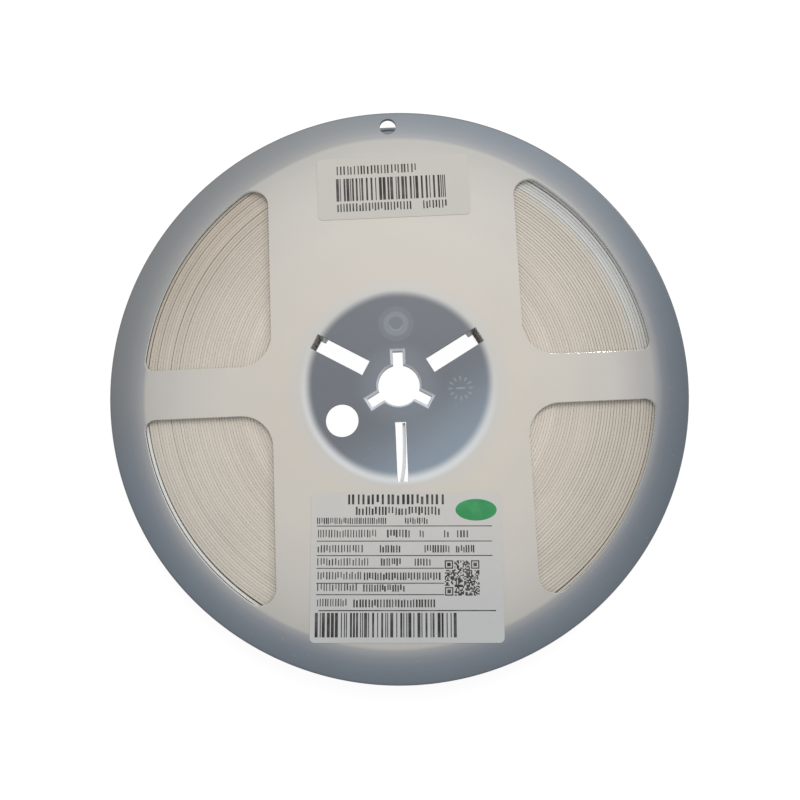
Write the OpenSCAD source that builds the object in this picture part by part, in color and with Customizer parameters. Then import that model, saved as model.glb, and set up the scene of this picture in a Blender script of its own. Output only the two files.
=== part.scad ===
// Seven inch carrier-tape reel for surface-mount parts, wound with 8 mm paper tape.
// The reel lies flat on its back flange. Z is the arbor axis and points out of the
// labelled front face, Y points to the small hole in the rim, and the origin is the
// foot of the axis. The reel is a single moulding: two flanges joined by a hub ring,
// with a thin web that closes the front of the hub and is open behind.

/* [Flanges] */
// Outside diameter of both flanges
flange_d = 180; // [178:1:190]
// Thickness of each flange
flange_t = 1.25; // [1:0.05:1.5]
// Width of the reel over both flanges
reel_w = 11.4; // [11.4:0.1:12.4]
// Thickness of the round bead along each rim
rim_bead = 1.6; // [1.5:0.1:2]
// Diameter of the hole near the rim of the front flange
rim_hole_d = 5.2; // [3:0.1:6]
// Distance of the rim hole from the axis
rim_hole_r = 85; // [84:0.5:86]

/* [Windows] */
// Distance of each window's straight side from the centre line
window_x = 39.5; // [36:0.5:44]
// Half the width of the bar between two windows
window_y = 7.7; // [6:0.1:10]
// Radius of each window's round side
window_r = 79.8; // [76:0.1:80.5]
// Corner radius beside the hub
hub_corner_r = 10; // [4:0.5:12]
// Corner radius where the bar meets the round side
bar_corner_r = 3; // [2:0.5:5]
// Corner radius at the far end of the straight side
end_corner_r = 5; // [2:0.5:7]

/* [Hub] */
// Outside diameter of the hub ring, which the tape is wound on
hub_d = 60; // [56:1:62]
// Wall thickness of the hub ring at its open end
hub_wall = 1.5; // [1.2:0.1:2]
// Draft of the ring's inner wall from its open end to the web
hub_draft = 0.15; // [0:0.05:0.3]
// Thickness of the web across the hub's front
web_t = 1.25; // [1:0.05:1.5]

/* [Arbor] */
// Diameter of the arbor bore
arbor_d = 13; // [12.8:0.1:13.2]
// Width of each of the three keyways
key_w = 3.1; // [2:0.1:3.2]
// Reach of each keyway from the axis
key_reach = 10.7; // [10.1:0.1:11.2]
// Length of straight wall in the bore
bore_l = 2.4; // [1.6:0.1:3]
// Chamfer round the bore
bore_chamfer = 0.5; // [0.2:0.1:0.6]
// Chamfer along the keyways
key_chamfer = 0.8; // [0.7:0.1:1]
// Wall of the collar behind the web
collar_wall = 1.2; // [0.8:0.1:1.6]

/* [Slots and holes] */
// Width of the two upper tape slots
upper_slot_w = 5; // [4:0.1:6]
// Width of the lower slot, which holds the start of the tape
lower_slot_w = 3.3; // [3:0.1:5]
// Distance of each slot's inner end from the axis
slot_start = 11.6; // [11.5:0.1:16]
// Diameter of the drive hole
drive_hole_d = 10.1; // [6:0.1:11]
// Distance of the drive hole from the axis
drive_hole_r = 20.8; // [19:0.1:21]
// Direction of the drive hole from the axis
drive_hole_dir = 210; // [205:1:215]

/* [Gate] */
// Distance of the injection gate from the axis
gate_y = 19.4; // [19:0.1:20]
// Radius of the gate's outer step
gate_r = 5.6; // [4.5:0.1:6]

/* [Tape] */
// Width of the carrier tape
tape_w = 8; // [8]
// Turns wound tight on the hub
turns = 56; // [20:1:56]
// Distance from one turn to the next
turn_pitch = 0.865; // [0.7:0.005:0.865]
// Width of the groove between two turns at the tape's edge
groove_w = 0.2; // [0.1:0.05:0.3]
// Depth of this groove
groove_depth = 0.35; // [0.1:0.05:0.5]
// Thickness of the tape itself
tape_t = 0.75; // [0.5:0.05:0.8]
// Sideways shift of the loose last turn
loose_shift = 0.35; // [0.2:0.05:0.5]
// Direction in which the last turn stands away
loose_dir = 205; // [0:5:360]

/* [Labels] */
// Thickness of both labels
label_t = 0.12; // [0.1:0.01:0.2]
// Width of the main label
main_label_w = 58; // [40:1:60]
// Height of the main label
main_label_h = 44.3; // [30:0.1:45]
// Centre of the main label below the axis
main_label_y = -55.5; // [-58:0.5:-55]
// Turn of the main label
main_label_turn = -2.4; // [-4:0.1:4]
// Width of the top label
top_label_w = 48.8; // [30:0.1:50]
// Height of the top label
top_label_h = 20.4; // [10:0.1:22]
// Centre of the top label above the axis
top_label_y = 64.4; // [60:0.1:66]

/* [Hidden] */
$fn = 96;

flange_r = flange_d / 2;
hub_r = hub_d / 2;
arbor_r = arbor_d / 2;
bead_r = rim_bead / 2;
over = 1;                                   // how far a cutter runs past what it cuts

front_inside = reel_w - flange_t;           // inner face of the front flange
web_back = reel_w - web_t;                  // back face of the web
collar_foot = reel_w - bore_chamfer - bore_l;
key_dirs = [90, 210, 330];
upper_slot_dirs = [30, 150];
lower_slot_dir = 270;

gate_mid_r = 0.7 * gate_r;
gate_dimple_r = 0.4 * gate_r;
gate_step = 0.3;

tape_foot = flange_t;                       // the roll rests on the back flange
tape_top = tape_foot + tape_w;
roll_r = hub_r + turns * turn_pitch;
loose_inner_r = roll_r + loose_shift - 0.1; // the last turn stays joined on its far side

tongue_start = 12.2;                        // inner end of the tape, below the axis
tongue_end = hub_r + 0.8;                   // where it runs into the first turn
tongue_steps = 24;

label_corner_r = 1.5;
top_label_x = 1;

plastic_colour = [0.66, 0.69, 0.73];
paper_colour = [0.80, 0.77, 0.70];
label_colour = [0.93, 0.93, 0.91];

// ---- Reel ----

// Points of an arc round centre, counterclockwise, one every few degrees. The inner
// points alone leave out both ends, for an arc that runs into its neighbours.
function arc_points(centre, r, from, to, steps) = [
    for (i = [0 : steps])
        let (dir = from + (to - from) * i / steps)
            centre + r * [cos(dir), sin(dir)]
];
function inner_points(list) = [for (i = [1 : len(list) - 2]) list[i]];

// Centre of a corner circle of radius r that touches the round side from inside, and a
// straight side at distance side: [distance along that side, distance from its centre line]
function arc_corner(r, side) = [sqrt(pow(window_r - r, 2) - pow(side + r, 2)), side + r];

// One window in the quarter where X and Y are positive: the round side, then the corners
// at the far end of the straight side, beside the hub and at the bar
module window_outline() {
    bar_corner = arc_corner(bar_corner_r, window_y);
    end_corner = [window_x + end_corner_r, arc_corner(end_corner_r, window_x)[0]];
    hub_corner = [window_x + hub_corner_r, window_y + hub_corner_r];
    bar_dir = atan2(bar_corner[1], bar_corner[0]);
    end_dir = atan2(end_corner[1], end_corner[0]);
    polygon(concat(
        inner_points(arc_points([0, 0], window_r, bar_dir, end_dir, 24)),
        arc_points(end_corner, end_corner_r, end_dir, 180, 10),
        arc_points(hub_corner, hub_corner_r, 180, 270, 10),
        arc_points(bar_corner, bar_corner_r, -90, bar_dir, 8)
    ));
}

module all_windows() {
    for (flip_x = [0, 1], flip_y = [0, 1])
        mirror([flip_x, 0, 0])
            mirror([0, flip_y, 0])
                translate([0, 0, -over])
                    linear_extrude(reel_w + 2 * over)
                        window_outline();
}

// Section of the moulding before anything is cut: flanges with a bead along the rim,
// the drafted hub ring and the web
module reel_section() {
    difference() {
        union() {
            for (foot = [0, front_inside])
                translate([0, foot]) square([flange_r - bead_r, flange_t]);
            translate([flange_r - bead_r, bead_r]) circle(r = bead_r);
            translate([flange_r - bead_r, reel_w - bead_r]) circle(r = bead_r);
            square([hub_r, reel_w]);
        }
        polygon([
            [-over, -over],
            [hub_r - hub_wall, -over],
            [hub_r - hub_wall, 0],
            [hub_r - hub_wall - hub_draft, web_back],
            [-over, web_back]
        ]);
        translate([-over - flange_d, 0]) square([flange_d + over, reel_w]);
    }
}

// Bore and keyways with straight walls, widened by extra on every side
module arbor_shape(extra, foot, height) {
    translate([0, 0, foot]) {
        cylinder(r = arbor_r + extra, h = height);
        for (dir = key_dirs)
            rotate([0, 0, dir])
                translate([0, -key_w / 2 - extra, 0])
                    cube([key_reach + extra, key_w + 2 * extra, height]);
    }
}

// Chamfer of one keyway: a trough with sloping sides, closed by a sloping end
module key_trough() {
    depth = key_chamfer + over;
    half = key_w / 2;
    translate([0, 0, reel_w - key_chamfer])
        intersection() {
            rotate([90, 0, 90])
                linear_extrude(key_reach + depth)
                    polygon([[-half, 0], [half, 0], [half + depth, depth], [-half - depth, depth]]);
            translate([0, half + depth, 0])
                rotate([90, 0, 0])
                    linear_extrude(key_w + 2 * depth)
                        polygon([[0, 0], [key_reach, 0], [key_reach + depth, depth], [0, depth]]);
        }
}

module arbor_cut() {
    arbor_shape(0, collar_foot - over, reel_w + 2 * over - collar_foot);
    translate([0, 0, reel_w - bore_chamfer])
        cylinder(r1 = arbor_r, r2 = arbor_r + bore_chamfer + over, h = bore_chamfer + over);
    for (dir = key_dirs)
        rotate([0, 0, dir]) key_trough();
}

// A radial slot through the web and the hub ring
module slot_cut(dir, width) {
    rotate([0, 0, dir])
        translate([slot_start, -width / 2, -over])
            cube([hub_r - slot_start, width, reel_w + 2 * over]);
}

// Stepped pad behind the web where the plastic was injected, with a dimple in the middle
module gate_pad() {
    translate([0, gate_y, web_back])
        mirror([0, 0, 1])
            difference() {
                union() {
                    translate([0, 0, -gate_step]) cylinder(r = gate_r, h = 2 * gate_step);
                    cylinder(r = gate_mid_r, h = 2 * gate_step);
                }
                translate([0, 0, gate_step]) cylinder(r = gate_dimple_r, h = 2 * gate_step);
            }
}

module reel_body() {
    color(plastic_colour)
        difference() {
            union() {
                rotate_extrude() reel_section();
                arbor_shape(collar_wall, collar_foot, web_back - collar_foot + web_t / 2);
                gate_pad();
            }
            all_windows();
            arbor_cut();
            for (dir = upper_slot_dirs)
                slot_cut(dir, upper_slot_w);
            slot_cut(lower_slot_dir, lower_slot_w);
            rotate([0, 0, drive_hole_dir])
                translate([drive_hole_r, 0, web_back - over])
                    cylinder(d = drive_hole_d, h = web_t + 2 * over);
            translate([0, rim_hole_r, front_inside - over])
                cylinder(d = rim_hole_d, h = flange_t + 2 * over);
        }
}

// ---- Tape ----

// The edge of the wound tape from the hub outwards: a flat for each turn with a
// V groove between neighbours. face is the height of the flats, inward points into the roll.
function roll_edge(face, inward) = [
    for (i = [0 : turns - 1])
        let (r = hub_r + i * turn_pitch)
            each [
                [r, face + (i == 0 ? 0 : inward * groove_depth)],
                [r + groove_w / 2, face],
                [r + turn_pitch - groove_w / 2, face]
            ]
];

function reversed(list) = [for (i = [len(list) - 1 : -1 : 0]) list[i]];

module roll_section() {
    polygon(concat(
        roll_edge(tape_foot, 1),
        [[roll_r, tape_foot + groove_depth], [roll_r, tape_top - groove_depth]],
        reversed(roll_edge(tape_top, -1))
    ));
}

// The last turn stands away from the roll on one side
module loose_turn() {
    rotate([0, 0, loose_dir])
        translate([loose_shift, 0, tape_foot])
            difference() {
                cylinder(r = loose_inner_r + tape_t, h = tape_w);
                translate([0, 0, -over]) cylinder(r = loose_inner_r, h = tape_w + 2 * over);
            }
}

// Middle line of the tape's start, from its free end (t = 0) to the first turn (t = 1):
// nearly straight, then bending aside into the winding direction
function tongue_point(t) = [
    1 - 0.4 * t - 1.6 * pow(t, 4),
    -tongue_start - (tongue_end - tongue_start) * t
];

// The start of the tape, held in the lower slot
module tape_tongue() {
    line = [for (i = [0 : tongue_steps]) tongue_point(i / tongue_steps)];
    half = [tape_t / 2, 0];
    translate([0, 0, tape_foot])
        linear_extrude(tape_w)
            polygon(concat(
                [for (p = line) p + half],
                [for (p = reversed(line)) p - half]
            ));
}

module tape_roll() {
    color(paper_colour)
        union() {
            rotate_extrude() roll_section();
            loose_turn();
            tape_tongue();
        }
}

// ---- Labels ----

module label_sheet(width, height) {
    inner = [width - 2 * label_corner_r, height - 2 * label_corner_r];
    linear_extrude(label_t) {
        square([inner[0], height], center = true);
        square([width, inner[1]], center = true);
        for (x = [-0.5, 0.5], y = [-0.5, 0.5])
            translate([x * inner[0], y * inner[1]]) circle(r = label_corner_r);
    }
}

module main_label() {
    color(label_colour)
        translate([0, main_label_y, reel_w])
            rotate([0, 0, main_label_turn])
                label_sheet(main_label_w, main_label_h);
}

module top_label() {
    color(label_colour)
        translate([top_label_x, top_label_y, reel_w])
            label_sheet(top_label_w, top_label_h);
}

reel_body();
tape_roll();
main_label();
top_label();
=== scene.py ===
import math

import bmesh
import bpy
import numpy as np
from mathutils import Matrix, Vector
from mathutils.geometry import tessellate_polygon


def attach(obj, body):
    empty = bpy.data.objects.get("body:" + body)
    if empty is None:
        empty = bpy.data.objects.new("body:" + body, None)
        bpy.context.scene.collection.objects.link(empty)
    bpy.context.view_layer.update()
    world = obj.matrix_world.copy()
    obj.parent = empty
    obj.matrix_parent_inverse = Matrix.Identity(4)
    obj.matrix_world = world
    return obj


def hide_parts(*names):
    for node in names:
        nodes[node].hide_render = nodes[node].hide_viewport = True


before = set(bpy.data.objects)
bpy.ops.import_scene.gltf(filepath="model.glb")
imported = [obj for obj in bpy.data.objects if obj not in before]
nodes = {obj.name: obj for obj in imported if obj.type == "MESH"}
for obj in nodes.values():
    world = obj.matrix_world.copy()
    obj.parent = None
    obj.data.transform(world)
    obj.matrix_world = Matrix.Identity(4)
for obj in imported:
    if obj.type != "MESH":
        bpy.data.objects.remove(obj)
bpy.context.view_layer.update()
mm = 0.001

view = {
    "place": (0.15, -36.97, 249.2),   # mm, almost straight above the reel
    "aim": (0.13, -4.79, 11.4),       # a point of the front face
    "roll": -2.504,                   # degrees, the reel sits a little turned
    "lens": 34.87,
}


# the camera looks from place to aim: its right is forward x up, both turned by roll about forward
def makeCamera(look):
    place, aim = Vector(look["place"]) * mm, Vector(look["aim"]) * mm
    forward = (aim - place).normalized()
    right = forward.cross(Vector((0, 1, 0))).normalized()
    up = right.cross(forward)
    roll = math.radians(look["roll"])
    turnedRight = right * math.cos(roll) + up * math.sin(roll)
    turnedUp = up * math.cos(roll) - right * math.sin(roll)
    data = bpy.data.cameras.new("camera")
    data.lens, data.sensor_width = look["lens"], 36
    data.clip_start, data.clip_end = 0.005, 20
    camera = bpy.data.objects.new("camera", data)
    bpy.context.scene.collection.objects.link(camera)
    turned = Matrix((turnedRight, turnedUp, -forward)).transposed().to_4x4()
    camera.matrix_world = Matrix.Translation(place) @ turned
    bpy.context.scene.camera = camera


def makeLamp(name, place, aim, size, power, tint=(1, 1, 1)):
    data = bpy.data.lights.new(name, "AREA")
    data.shape, data.size, data.energy, data.color = "DISK", size, power, tint
    lamp = bpy.data.objects.new(name, data)
    bpy.context.scene.collection.objects.link(lamp)
    place, aim = Vector(place), Vector(aim)
    turned = (aim - place).to_track_quat("-Z", "Y").to_matrix().to_4x4()
    lamp.matrix_world = Matrix.Translation(place) @ turned


# a socket of a material's node tree that takes part in Python expressions
class Sock:
    def __init__(self, tree, link):
        self.tree, self.link = tree, link

    def maths(self, operation, *others, clamp=False):
        node = self.tree.nodes.new("ShaderNodeMath")
        node.operation, node.use_clamp = operation, clamp
        for place, value in enumerate((self,) + others):
            join(self.tree, value, node.inputs[place])
        return Sock(self.tree, node.outputs[0])

    def __add__(self, other): return self.maths("ADD", other)
    def __mul__(self, other): return self.maths("MULTIPLY", other)
    def __sub__(self, other): return self.maths("SUBTRACT", other)
    def __rsub__(self, other): return (self * -1) + other
    def __truediv__(self, other): return self.maths("DIVIDE", other)
    def __pow__(self, other): return self.maths("POWER", other)
    def __abs__(self): return self.maths("ABSOLUTE")
    __radd__, __rmul__ = __add__, __mul__


def join(tree, value, socket):
    if isinstance(value, Sock):
        tree.links.new(value.link, socket)
    elif socket.type == "RGBA" and len(value) == 3:
        socket.default_value = (*value, 1)
    else:
        socket.default_value = value


# a material with one Principled shader, and the few ways in which its nodes are made
class Finish:
    def __init__(self, name, **constants):
        self.material = bpy.data.materials.new(name)
        self.material.use_nodes = True
        self.tree = self.material.node_tree
        self.shader = self.tree.nodes["Principled BSDF"]
        for socket, value in constants.items():
            join(self.tree, value, self.shader.inputs[socket.replace("_", " ")])

    # any node: its type, its settings, the values or links of its inputs, and the output that is wanted
    def node(self, kind, settings=None, out=0, **inputs):
        node = self.tree.nodes.new("ShaderNode" + kind)
        for key, value in (settings or {}).items():
            setattr(node, key, value)
        for key, value in inputs.items():
            socket = node.inputs[int(key[1:])] if key[1:].isdigit() else node.inputs[key.replace("_", " ")]
            join(self.tree, value, socket)
        return Sock(self.tree, node.outputs[out])

    def place(self):
        return self.node("TexCoord", out="Object")

    def parts(self, vector):
        node = self.tree.nodes.new("ShaderNodeSeparateXYZ")
        join(self.tree, vector, node.inputs[0])
        return [Sock(self.tree, output) for output in node.outputs]

    # 0 on low's side, 1 on high's side, smooth between them; low may be the larger one
    def step(self, value, low, high):
        return self.node("MapRange", {"interpolation_type": "SMOOTHSTEP"}, Value=value,
                         From_Min=low, From_Max=high, To_Min=0.0, To_Max=1.0)

    # 1 between low and high, with edges that reach as far as soft to either side
    def band(self, value, low, high, soft):
        return self.step(value, low - soft, low + soft) * (1 - self.step(value, high - soft, high + soft))

    # the first colour turned into the second where amount is 1
    def blend(self, amount, first, second):
        return self.node("Mix", {"data_type": "RGBA"}, out=2, _0=amount, _6=first, _7=second)

    # a colour made lighter or darker
    def scaled(self, colour, amount):
        return self.node("VectorMath", {"operation": "SCALE"}, _0=colour, Scale=amount)

    # a ramp through colours, each at its own value
    def ramp(self, value, stops):
        low, high = stops[0][0], stops[-1][0]
        node = self.tree.nodes.new("ShaderNodeValToRGB")
        node.color_ramp.interpolation = "LINEAR"
        elements = node.color_ramp.elements
        while len(elements) < len(stops):
            elements.new(0.5)
        for element, (position, colour) in zip(elements, stops):
            element.position, element.color = (position - low) / (high - low), (*colour, 1)
        join(self.tree, (value - low) / (high - low), node.inputs[0])
        return Sock(self.tree, node.outputs[0])

    # soft cloudy values about 0.5; size is the width of a cloud in metres
    def clouds(self, place, size, detail, stretch=None):
        if stretch:
            place = self.node("Mapping", Vector=place, Scale=stretch)
        return self.node("TexNoise", Vector=place, Scale=1 / size, Detail=detail, Roughness=0.55)

    def bump(self, height, distance, strength):
        return self.node("Bump", Height=height, Distance=distance, Strength=strength)

    def wear(self, **links):
        for socket, value in links.items():
            join(self.tree, value, self.shader.inputs[socket.replace("_", " ")])
        return self.material


# the linear colour of a screen colour of three numbers from 0 to 255
def tone(red, green, blue):
    share = np.array((red, green, blue)) / 255
    linear = np.where(share <= 0.04045, share / 12.92, ((share + 0.055) / 1.055) ** 2.4)
    return tuple(float(part) for part in linear)


# a grid of points, rows x columns, as quads; closed along a direction where wrap says so
def gridFaces(rows, columns, wrapRows=False, wrapColumns=False):
    across = np.arange(columns if wrapColumns else columns - 1)
    along = np.arange(rows if wrapRows else rows - 1)
    row, column = np.meshgrid(along, across, indexing="ij")
    nextRow, nextColumn = (row + 1) % rows, (column + 1) % columns
    return np.stack([row * columns + column, row * columns + nextColumn,
                     nextRow * columns + nextColumn, nextRow * columns + column], -1).reshape(-1, 4)


# the two flat ends of a shell of so many rings, the first turned to face outwards
def endRings(rings, count):
    return [np.arange(count)[::-1], (rings - 1) * count + np.arange(count)]


# flat points turned by so many degrees about the axis
def spun(points, degrees):
    angle = math.radians(degrees)
    return points @ np.array([[math.cos(angle), math.sin(angle)], [-math.sin(angle), math.cos(angle)]])


# each flat ring lifted to its own height
def atHeights(rings, heights):
    rings, heights = np.asarray(rings), np.asarray(heights)[:, None, None]
    return np.concatenate([rings, np.broadcast_to(heights, rings.shape[:2] + (1,))], -1)


# the points (metres) and faces (quads, with triangles and other rings apart) become an object; weld makes
# one of points that fall together, and edges bent by more than the crease, in degrees, stay sharp
def makePiece(name, points, quads, material, others=(), smooth=True, weld=False, crease=None):
    points = np.asarray(points, float).reshape(-1, 3)
    quads = np.asarray(quads, int).reshape(-1, 4)
    if weld:
        first, same = np.unique(np.round(points * 1e7).astype(np.int64), axis=0,
                                return_index=True, return_inverse=True)[1:]
        points, same = points[first], same.reshape(-1)
        quads, others = same[quads], [same[np.asarray(ring)] for ring in others]
    loops = [quads.reshape(-1)] + [np.asarray(ring, int) for ring in others]
    sizes = np.concatenate([np.full(len(quads), 4), [len(ring) for ring in others]]).astype(int)
    mesh = bpy.data.meshes.new(name)
    mesh.vertices.add(len(points))
    mesh.vertices.foreach_set("co", points.astype(np.float32).ravel())
    allLoops = np.concatenate(loops).astype(np.int32)
    mesh.loops.add(len(allLoops))
    mesh.loops.foreach_set("vertex_index", allLoops)
    mesh.polygons.add(len(sizes))
    starts = np.concatenate([[0], np.cumsum(sizes)[:-1]]).astype(np.int32)
    mesh.polygons.foreach_set("loop_start", starts)
    mesh.update(calc_edges=True)
    mesh.validate()
    if crease:
        mesh.set_sharp_from_angle(angle=math.radians(crease))
    mesh.polygons.foreach_set("use_smooth", (np.arange(len(sizes)) < len(quads)) & smooth)   # caps stay flat
    piece = bpy.data.objects.new(name, mesh)
    bpy.context.scene.collection.objects.link(piece)
    mesh.materials.append(material)
    return piece


# flat-topped boxes, one for each row of centres and sizes (mm), turned with their sheet:
# corner = centre + half size x (-1 or 1), and all six sides are quads
def raisedBars(centres, sizes, foot, height, turn, middle):
    signs = np.array([[-1, -1], [1, -1], [1, 1], [-1, 1]])
    flat = centres[:, None, :] + 0.5 * sizes[:, None, :] * signs[None]
    flat = spun(flat, turn) + np.array(middle)
    low = np.concatenate([flat, np.full(flat.shape[:2] + (1,), foot)], -1)
    high = low + np.array([0, 0, height])
    points = np.concatenate([low, high], 1) * mm
    box = np.array([[4, 5, 6, 7], [3, 2, 1, 0], [0, 1, 5, 4], [1, 2, 6, 5], [2, 3, 7, 6], [3, 0, 4, 7]])
    quads = (np.arange(len(centres))[:, None, None] * 8 + box[None]).reshape(-1, 4)
    return points.reshape(-1, 3), quads


reel = {
    "roughness": 0.36,
    "rollEdge": 79.6,         # mm, where the paper under the flange ends
    "gate": (-0.1, 19.4),     # mm, the injection gate
    "dateMark": (19.1, -1.9),
    # flange colours by radius: cream where the paper lies behind the milky plastic, then painted shade, grey
    # and darker toward the rim
    "rimColours": [(78.6, tone(184, 180, 173)), (80.4, tone(148, 150, 152)), (82.6, tone(126, 131, 138)),
                   (85.0, tone(111, 119, 128)), (87.0, tone(104, 113, 123)), (89.6, tone(98, 106, 115))],
    "paperColours": [(30, tone(196, 194, 190)), (36, tone(200, 194, 185)), (52, tone(198, 193, 185)),
                     (66, tone(191, 187, 182)), (74, tone(184, 181, 176)), (78.6, tone(176, 174, 169))],
}


mould = {
    "flangeRadius": 90.0, "flange": 1.25, "width": 11.4, "bead": 0.8, "rounding": 0.17,
    "windowSide": 39.5, "barHalf": 7.7, "windowRadius": 79.8, "corners": (10.0, 3.0, 5.0),
    "hubRadius": 30.0, "wall": (28.5, 28.35),
    "slots": ((30, 2.5), (150, 2.5), (270, 1.65)), "slotStart": 11.6,     # degrees and half width of each
    "bore": 6.5, "keyHalf": 1.55, "keyReach": 10.7,
    "driveHole": (20.8, 210.0, 5.05), "rimHole": (85.0, 2.6), "gateSteps": (5.6, 3.92, 2.24),
    # arbor collar, step by step: how much wider the bore and the keyways are, and the height
    "collar": [(0.15, 0.15, 8.5), (0, 0, 8.65), (0, 0, 10.72), (0.08, 0.1, 10.84), (0.47, 0.77, 11.22),
               (0.8, 1.0, 11.25), (1.2, 1.2, 10.9), (1.2, 1.2, 8.7), (1.05, 1.05, 8.5)],
    "webChamfer": (0.45, 0.75),                           # mm, the web's own opening round the collar
    "wallTop": 11.1, "wallSteps": 72,
}


def arc(middle, radius, start, end, count, ends=True):
    turn = np.radians(np.linspace(start, end, count))
    points = np.array(middle) + radius * np.stack([np.cos(turn), np.sin(turn)], -1)
    return points if ends else points[1:-1]


def circle(middle, radius, count):
    return arc(middle, radius, 0, 360, count + 1)[:-1]


# Window: a round side and three rounded corners, each corner circle touching its two sides. The others are
# mirrored once or twice, and those mirrored once are read backwards, so that all run the same way round.
def windowRings():
    side, bar, radius = mould["windowSide"], mould["barHalf"], mould["windowRadius"]
    hubCorner, barCorner, endCorner = mould["corners"]
    inside = lambda r, edge: math.sqrt((radius - r) ** 2 - (edge + r) ** 2)
    barMiddle = (inside(barCorner, bar), bar + barCorner)
    endMiddle = (side + endCorner, inside(endCorner, side))
    barTurn = math.degrees(math.atan2(barMiddle[1], barMiddle[0]))
    endTurn = math.degrees(math.atan2(endMiddle[1], endMiddle[0]))
    ring = np.concatenate([
        arc((0, 0), radius, barTurn, endTurn, 60, ends=False), arc(endMiddle, endCorner, endTurn, 180, 18),
        arc((side + hubCorner, bar + hubCorner), hubCorner, 180, 270, 18),
        arc(barMiddle, barCorner, -90, barTurn, 14)])
    return [ring, (ring * (-1, 1))[::-1], ring * (-1, -1), (ring * (1, -1))[::-1]]


# Arbor outline: the bore's circle broken by three keyways, each widened by its own amount.
def arborRing(boreExtra, keyExtra):
    radius, half, end = mould["bore"] + boreExtra, mould["keyHalf"] + keyExtra, mould["keyReach"] + keyExtra
    side = math.degrees(math.asin(half / radius))
    steps = np.linspace(0, 1, 5)[1:-1]
    mouth = radius * math.cos(math.radians(side))
    out = [(mouth + (end - mouth) * t, -half) for t in steps]
    across = [(end, -half), (end, -half / 2), (end, 0), (end, half / 2), (end, half)]
    back = [(end - (end - mouth) * t, half) for t in steps]
    key = np.array(out + across + back)
    return np.concatenate([part for turn in (90, 210, 330) for part in
                           (spun(key, turn), arc((0, 0), radius, turn + side, turn + 120 - side, 24))])


# each slot (degrees, half width) with the one that follows it, the last with the first one turn on
def slotPairs():
    slots = mould["slots"]
    return list(zip(slots, slots[1:] + ((slots[0][0] + 360, slots[0][1]),)))


# Hub opening of the back flange: a circle with a notch at each slot.
def hubRing():
    parts, radius = [], mould["wall"][0]
    for (turn, half), (nextTurn, nextHalf) in slotPairs():
        start = math.degrees(math.asin(half / radius))
        stop = nextTurn - math.degrees(math.asin(nextHalf / radius))
        notch = np.array([(radius * math.cos(math.radians(start)), -half), (mould["hubRadius"], -half),
                          (mould["hubRadius"], half)])
        parts += [spun(notch, turn), arc((0, 0), radius, turn + start, stop, 40)[:-1]]
    return np.concatenate(parts)


# Offset of a closed ring: each point moves along the sum of its two edge normals, so corners stay mitred.
def offsetRing(ring, distance):
    edge = np.roll(ring, -1, 0) - ring
    normal = np.stack([edge[:, 1], -edge[:, 0]], -1) / np.linalg.norm(edge, axis=1)[:, None]
    before = np.roll(normal, 1, 0)
    return ring + distance * (normal + before) / (1 + (normal * before).sum(1))[:, None]


# Sheet: every edge is a ring carried along a small profile of two quarter rounds, and the flat faces
# between the outer ring and its holes are filled with triangles.
def sheetShell(outer, holes, foot, top):
    rounding = mould["rounding"]
    quarter = np.radians(np.linspace(0, 90, 4))
    dip, rise = rounding * (1 - np.cos(quarter)), rounding * np.sin(quarter)
    inward = np.concatenate([rounding * (1 - np.sin(quarter)), dip])
    height = np.concatenate([foot + dip, top - rounding + rise])
    points, quads, lowRings, highRings, count = [], [], [], [], 0
    for number, ring in enumerate([outer] + holes):
        sign = -1 if number == 0 else 1
        levels = np.stack([offsetRing(ring, sign * step) for step in inward])
        block = atHeights(levels, height)
        faces = gridFaces(len(inward), len(ring), wrapColumns=True) + count
        quads.append(faces if number == 0 else faces[:, ::-1])
        lowRings.append(np.arange(len(ring)) + count)
        highRings.append(np.arange(len(ring)) + count + (len(inward) - 1) * len(ring))
        points.append(block.reshape(-1, 3))
        count += block.shape[0] * block.shape[1]
    points = np.concatenate(points)
    caps = []
    for rings, up in ((lowRings, False), (highRings, True)):
        order = np.concatenate(rings)
        flat = [[Vector((*points[index][:2], 0)) for index in ring] for ring in rings]
        for triangle in tessellate_polygon(flat):
            a, b, c = order[list(triangle)]
            turnsLeft = np.cross(points[b][:2] - points[a][:2], points[c][:2] - points[a][:2]) > 0
            caps.append([a, b, c] if turnsLeft == up else [a, c, b])
    return points, np.concatenate(quads), caps


# Carried ring: one ring for each step of a closed profile, each at its step's height. It has no ends.
def carriedShell(rings, heights):
    faces = gridFaces(len(rings), len(rings[0]), wrapRows=True, wrapColumns=True)
    return atHeights(rings, heights).reshape(-1, 3), faces, []


# Hub wall between two slots: radius and height follow a closed profile, and the angle runs from one slot's
# flat side to the next one's, so both ends are flat.
def wallShell(start, startHalf, stop, stopHalf):
    (low, high), top, count = mould["wall"], mould["wallTop"], mould["wallSteps"]
    radii = np.array([low + 0.15, low + 0.003, high + 0.003, high + 0.4, 29.7, 29.99, 29.99, 29.8])
    heights = np.array([0.002, 0.15, 10.3, top, top, 10.3, 0.4, 0.002])
    first = np.radians(start) + np.arcsin(startHalf / radii)
    last = np.radians(stop) - np.arcsin(stopHalf / radii)
    t = np.linspace(0, 1, count)[:, None]
    angle = first + (last - first) * t
    x, y = radii * np.cos(angle), radii * np.sin(angle)
    points = np.stack([x, y, np.broadcast_to(heights, angle.shape)], -1)
    return points.reshape(-1, 3), gridFaces(count, 8, wrapColumns=True), endRings(count, 8)


# Turned shape about an upright line: (radius, height) pairs carried round a full circle, poles filled.
def turnedShell(middle, profile, count):
    turn = np.linspace(0, 2 * math.pi, count, endpoint=False)
    radius, height = np.array(profile).T
    rings = np.stack([radius[:, None] * np.cos(turn), radius[:, None] * np.sin(turn)], -1) + np.array(middle)
    faces = gridFaces(len(radius), count, wrapColumns=True)
    return atHeights(rings, height).reshape(-1, 3), faces, endRings(len(radius), count)


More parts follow.
